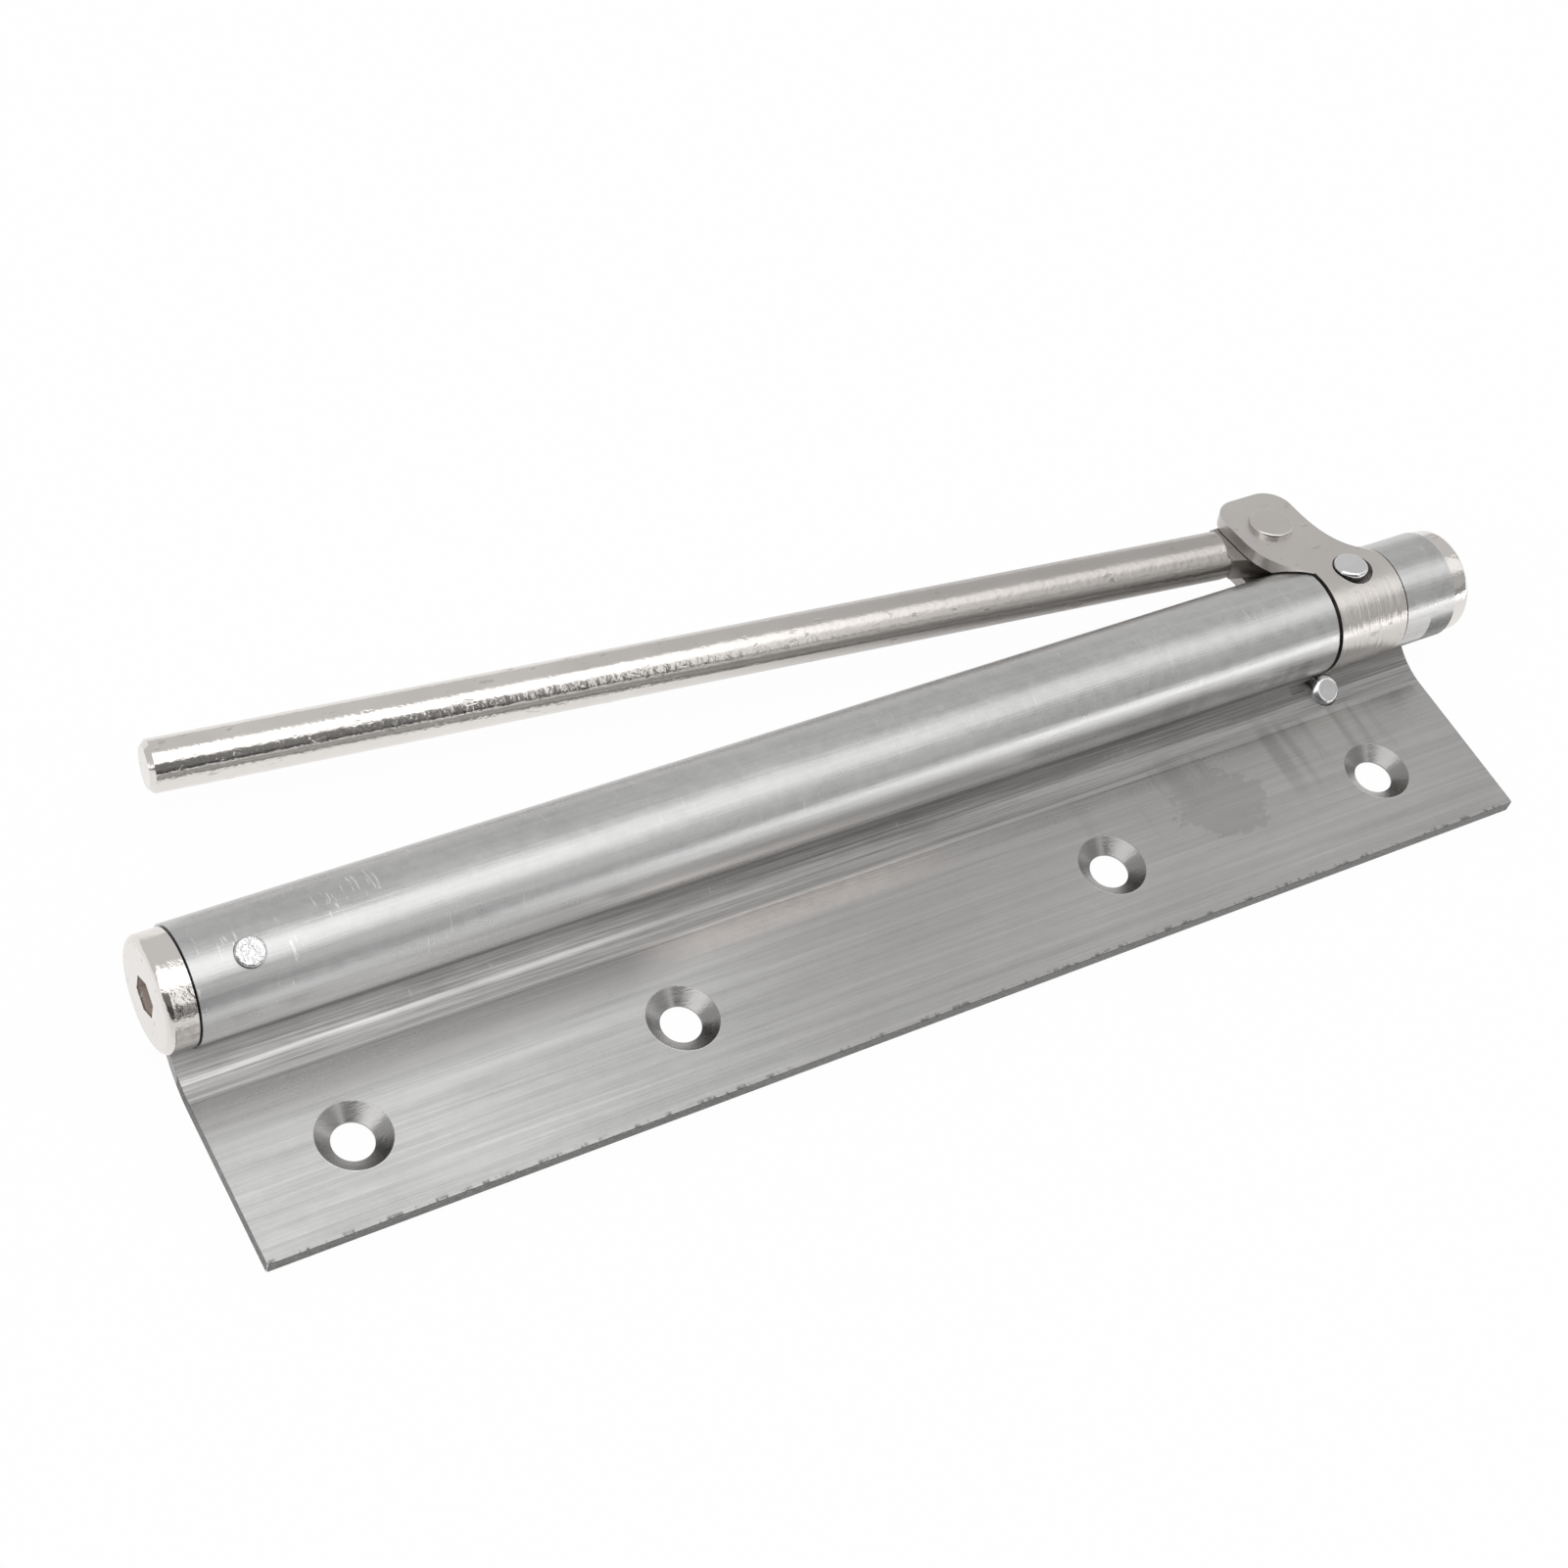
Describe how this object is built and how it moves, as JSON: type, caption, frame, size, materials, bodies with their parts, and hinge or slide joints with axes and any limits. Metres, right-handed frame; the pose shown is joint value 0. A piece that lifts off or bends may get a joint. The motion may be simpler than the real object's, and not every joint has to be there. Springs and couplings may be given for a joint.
{
  "type": "surface door closer, torsion spring with swing arm",
  "caption": "Small spring door closer: a rolled stainless screw flange and barrel, plated end caps, a swivelling strap clevis and a round folding arm.",
  "frame": {"origin": "on the mounting face, midway between the two outer screw holes", "axes": "+X along the barrel from the adjuster to the arm end, +Y from the screw row towards the barrel, +Z away from the door"},
  "size_m": [0.2573, 0.09, 0.0247],
  "materials": {
    "satin_stainless": "satin, grain along the barrel",
    "nickel_plate": "nickel plated, slightly uneven",
    "bright_pin": "bright, hammered",
    "hardened_steel": "turned, oiled",
    "spring_steel": "dark, oiled",
    "bronze": "sintered, plain"
  },
  "bodies": {
    "shell": {"mounting_shell": "satin_stainless", "ratchet_sleeve": "hardened_steel", "sleeve_pin": "bright_pin", "barrel_bush": "bronze", "knuckle_bush": "bronze", "barrel_washer": "bronze", "knuckle_washer": "bronze", "end_cap": "nickel_plate", "stop_pin": "bright_pin"},
    "adjuster": {"adjuster_plug": "nickel_plate", "ratchet_pawls": "spring_steel", "adjuster_washer": "hardened_steel", "retaining_clip": "spring_steel"},
    "rotor": {"rotor_core": "hardened_steel", "swivel_band": "nickel_plate", "drive_pin": "bright_pin", "spring_guide": "hardened_steel", "torsion_spring": "spring_steel", "arm_rivet": "nickel_plate"},
    "arm": {"arm_rod": "nickel_plate"}
  },
  "joints": [
    {"name": "adjuster_turn", "type": "hinge", "parent": "shell", "child": "adjuster", "pos_m": [-0.11, 0.0286, 0.0127], "axis": [1, 0, 0], "range_deg": [-720, 0], "deforming": ["ratchet_pawls"]},
    {"name": "strap_swivel", "type": "hinge", "parent": "shell", "child": "rotor", "pos_m": [0.10905, 0.0286, 0.0127], "axis": [1, 0, 0], "range_deg": [0, 120], "stiffness_Nm_per_rad": 2.5, "deforming": ["torsion_spring"]},
    {"name": "arm_swing", "type": "hinge", "parent": "rotor", "child": "arm", "pos_m": [0.10205, 0.04519, 0.01521], "axis": [0, -0.1736, -0.9848], "range_deg": [-6, 150]}
  ]
}
